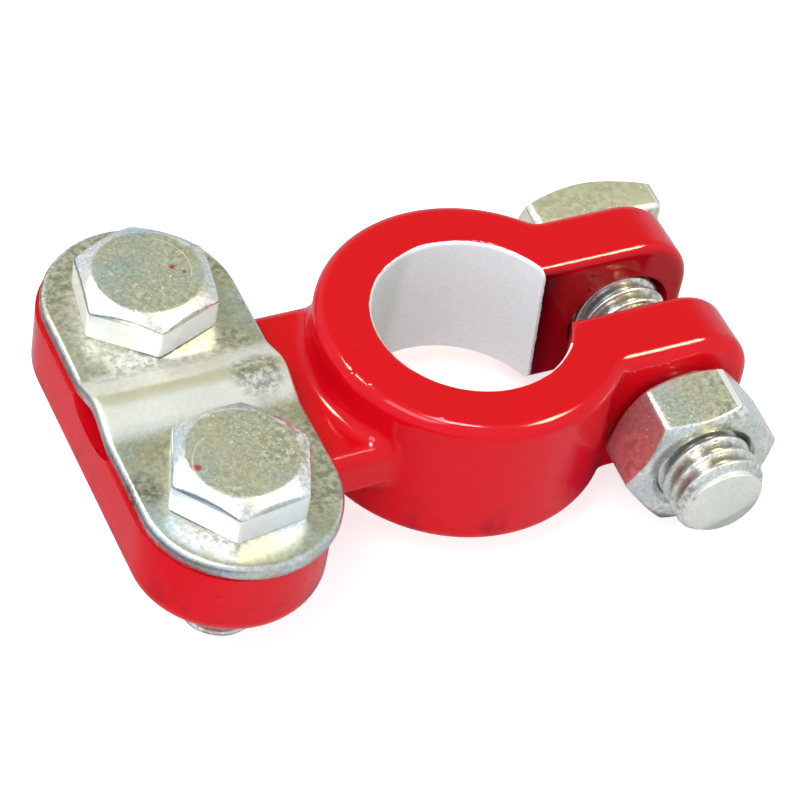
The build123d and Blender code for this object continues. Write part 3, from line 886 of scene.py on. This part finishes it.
def strap_plan():
    """Once round the strap: a point's place on the middle line, and its way out from there."""
    half = (PLATE["length"] - PLATE["width"]) / 2
    end = np.linspace(0, math.pi, 61)
    side = np.linspace(-half, half, 113)[1:-1]
    plan = [(half, math.cos(a), math.sin(a)) for a in end]
    plan += [(y, -1.0, 0.0) for y in side[::-1]]
    plan += [(-half, -math.cos(a), -math.sin(a)) for a in end]
    return plan + [(y, 1.0, 0.0) for y in side]


def strap_section():
    """From the middle of the top out over the rolled edge and back under: (out, down)."""
    reach, thick = PLATE["width"] / 2, PLATE["thickness"]
    roll, edge = PLATE["roll"], PLATE["lower_edge"]
    section = [(out, 0.0) for out in np.linspace(0, reach - roll, 20)]
    section += [(reach - roll + roll * math.sin(a), roll - roll * math.cos(a))
                for a in np.linspace(0, math.pi / 2, 7)[1:]]
    section += [(reach, thick - edge), (reach - edge, thick)]
    return section + [(out, thick) for out in np.linspace(reach - edge, 0, 14)[1:]]


print("arch", ARCH_RISE, "mm high at its crest and", arch_rise(ARCH_HALF_SPAN), "at its foot")

# %% [markdown]
# With plan, section and arch known, the skin is two loops, one inside the other.

# %% Strap
def pressed_strap(name):
    plan, section = strap_plan(), strap_section()
    points = []
    for out, down in section:
        for middle, way_x, way_y in plan:
            x, y = out * way_x, middle + out * way_y
            wander = WANDER * noise.noise(Vector((x / WANDER_OVER, y / WANDER_OVER, 1.7)))
            points.append((STRAP_BOLT_X + x, y, STRAP_TOP - down + arch_rise(y) + wander))
    return looped_mesh(name, points, len(plan), len(section), closed=False)


strap = piece("pressed_strap", [placed(pressed_strap("strap_sheet"), Matrix())], "cable_plate",
              "strap", zinc_strap)

# %% [markdown]
# ## Dress the casting
# The casting keeps its exact solid, so only its material slots change.

# %% Casting
casting = nodes["terminal_body"]
casting.data.materials.clear()
casting.data.materials.append(red_enamel)
print("terminal_body wears", red_enamel.name)

# %% [markdown]
# ## Table
# Glossy enamel and plated metal show their surroundings more than their own colour, so the
# table matters as much as the lamps. To the camera it is plain white. In reflections it is drawn
# a cool grey, as painted shade, falling off to a painted dark card left of the part, which gives
# the plating something dark to mirror, and it carries a painted shadow under the ears. The Light
# Path node tells these rays apart.

# %% Table
TABLE_HEIGHT = -4.05 * MM
TABLE_REACH = 1.5
DARK_CARD = (-56, -34)              # full, and gone, along X in mm
EAR_SHADE_X, EAR_SHADE_WIDTH = 18, (8, 4)   # its middle, and the half-widths it fades between
EAR_SHADE_Y = (-21, -16)


def table_in_reflections(tree):
    parts = add(tree, "ShaderNodeSeparateXYZ", {
        "Vector": add(tree, "ShaderNodeTexCoord").outputs["Object"]})
    painted_dark_card = add(tree, "ShaderNodeMapRange", {
        "Value": parts.outputs["X"], "From Min": DARK_CARD[0] * MM,
        "From Max": DARK_CARD[1] * MM})
    off_middle = add(tree, "ShaderNodeMath", {
        0: parts.outputs["X"], 1: -EAR_SHADE_X * MM}, operation="ADD")
    aside = add(tree, "ShaderNodeMath", {0: off_middle}, operation="ABSOLUTE")
    beside = add(tree, "ShaderNodeMapRange", {
        "Value": aside, "From Min": EAR_SHADE_WIDTH[0] * MM,
        "From Max": EAR_SHADE_WIDTH[1] * MM})
    behind = add(tree, "ShaderNodeMapRange", {
        "Value": parts.outputs["Y"], "From Min": EAR_SHADE_Y[0] * MM,
        "From Max": EAR_SHADE_Y[1] * MM})
    painted_ear_shadow = add(tree, "ShaderNodeMath", {0: beside, 1: behind}, operation="MULTIPLY")
    # Painted reflection: the table is drawn cool grey, darker far left, with a painted shadow
    # under the ears.
    return layered(tree, linear("#4C5664"), ((painted_dark_card, "#D8DBDB"), (painted_ear_shadow, "#4C5070")))


def table_material():
    """A matt white board; it glows a little to the camera, so that it reads as white."""
    material, tree = new_material("white_table")
    ray = add(tree, "ShaderNodeLightPath")
    tone = add(tree, "ShaderNodeMix", {
        "Factor": ray.outputs["Is Glossy Ray"], MIX_A: linear("#F4F4F2"),
        MIX_B: table_in_reflections(tree)}, data_type="RGBA")
    board = add(tree, "ShaderNodeBsdfDiffuse", {"Color": tone.outputs[MIX_RESULT]})
    glow = add(tree, "ShaderNodeEmission", {"Color": (1, 1, 1, 1), "Strength": 0.6})
    lit = add(tree, "ShaderNodeAddShader", {0: board, 1: glow})
    both = add(tree, "ShaderNodeMixShader", {
        0: ray.outputs["Is Camera Ray"], 1: board, 2: lit})
    add(tree, "ShaderNodeOutputMaterial", {"Surface": both})
    return material


table_mesh = bpy.data.meshes.new("table_top")
table_mesh.from_pydata(
    [(x * TABLE_REACH, y * TABLE_REACH, TABLE_HEIGHT)
     for x, y in ((-1, -1), (1, -1), (1, 1), (-1, 1))], [], [(0, 1, 2, 3)])
table_mesh.materials.append(table_material())
table_top = bpy.data.objects.new("table_top", table_mesh)
bpy.context.collection.objects.link(table_top)
print("table at", round(TABLE_HEIGHT / MM, 2), "mm")

# %% [markdown]
# ## Room
# The room is the even light round the part. It is white, with a pale straw screen on the side
# that the flat metal tops mirror: bare zinc facing a white wall would be lost against the
# background. The camera itself sees plain white.

# %% World
SCREEN = (0.37, 0.58, 0.72)         # the way to the middle of the screen
ROOM_LEVEL = 0.95
world = bpy.data.worlds.new("room")
world.use_nodes = True
bpy.context.scene.world = world
sky = world.node_tree
sky.nodes.clear()
towards_screen = add(sky, "ShaderNodeVectorMath", {
    0: add(sky, "ShaderNodeTexCoord").outputs["Generated"], 1: SCREEN},
    operation="DOT_PRODUCT")
screen = add(sky, "ShaderNodeMapRange", {
    "Value": towards_screen.outputs["Value"], "From Min": 0.70, "From Max": 0.93})
walls = layered(sky, linear("#F0F5FF"), ((screen, "#B5B794"),))
room = add(sky, "ShaderNodeBackground", {"Color": walls, "Strength": ROOM_LEVEL})
white = add(sky, "ShaderNodeBackground", {"Color": (1, 1, 1, 1), "Strength": 1.0})
seen_world = add(sky, "ShaderNodeMixShader", {
    0: add(sky, "ShaderNodeLightPath").outputs["Is Camera Ray"], 1: room, 2: white})
add(sky, "ShaderNodeOutputWorld", {"Surface": seen_world})
print("world with", len(sky.nodes), "nodes")

# %% [markdown]
# ## Lamps
# One broad window lamp shapes the part. Three small lamps draw the thin bright streaks along
# the enamel's rounded edges: they show only in reflections, so they add no light to surfaces.
# In a studio they would be flagged off the flat plating, which mirrors them as glare. Light
# linking is that flag: the strip lamp spares the strap, and the overhead lamp all the plating.

# %% Lamps
LAMPS = (   # name, place, width, depth, power, colour, whether it shows only in reflections
    ("warm_strip_lamp", (0.49, -0.23, 0.88), 0.30, 0.21, 12.0, "#FFF2CA", True),
    ("cool_overhead_lamp", (0.0, -0.05, 1.0), 0.25, 0.22, 7.0, "#F4F4FF", True),
    ("warm_side_lamp", (-0.40, 0.40, 0.82), 0.20, 0.15, 5.4, "#FFF2DC", True),
    ("cool_window_lamp", (-0.50, -0.20, 0.95), 0.50, 0.40, 4.6, "#F2F6FF", False))
LIT_ONLY = {"warm_strip_lamp": (casting, front_bolt, rear_bolt, square_bolt, nut),
            "cool_overhead_lamp": (casting,)}

for name, place, width, depth, power, colour, streak_only in LAMPS:
    light = bpy.data.lights.new(name, "AREA")
    light.shape = "RECTANGLE"
    light.size, light.size_y = width, depth
    light.energy = power
    light.color = linear(colour)[:3]
    lamp = bpy.data.objects.new(name, light)
    bpy.context.collection.objects.link(lamp)
    lamp.location = place
    lamp.rotation_mode = "QUATERNION"
    lamp.rotation_quaternion = (-Vector(place)).to_track_quat("-Z", "Y")
    lamp.visible_diffuse = not streak_only
    if name in LIT_ONLY:
        receivers = bpy.data.collections.new(name + "_receivers")
        for receiver in LIT_ONLY[name]:
            receivers.objects.link(receiver)
        lamp.light_linking.receiver_collection = receivers
    print(name, power, "W, flagged" if name in LIT_ONLY else "W")

# %% [markdown]
# ## Camera
# A long lens from a third of a metre keeps the clamp's proportions true. The camera stands to
# the saddle's side and looks down at about 47 degrees, and is rolled a little.

# %% Camera
AZIMUTH, ELEVATION, ROLL = (math.radians(degrees) for degrees in (-32.376, 46.517, -11.382))
DISTANCE = 0.32994
TARGET = Vector((-0.007421, -0.001861, 0.008))
LENS = 153.0
back = Vector((math.sin(AZIMUTH) * math.cos(ELEVATION), -math.cos(AZIMUTH) * math.cos(ELEVATION),
               math.sin(ELEVATION)))
level = Vector((math.cos(AZIMUTH), math.sin(AZIMUTH), 0))
up = back.cross(level)
right = level * math.cos(ROLL) - up * math.sin(ROLL)
upright = level * math.sin(ROLL) + up * math.cos(ROLL)
camera = bpy.data.objects.new("camera", bpy.data.cameras.new("camera"))
bpy.context.collection.objects.link(camera)
camera.data.lens = LENS
camera.data.clip_start = 0.01
camera.matrix_world = Matrix.Translation(TARGET + back * DISTANCE) @ Matrix(
    (right, upright, back)).transposed().to_4x4()
bpy.context.scene.camera = camera
bpy.context.scene.view_settings.view_transform = "Standard"
print("camera at", [round(v, 3) for v in TARGET + back * DISTANCE])
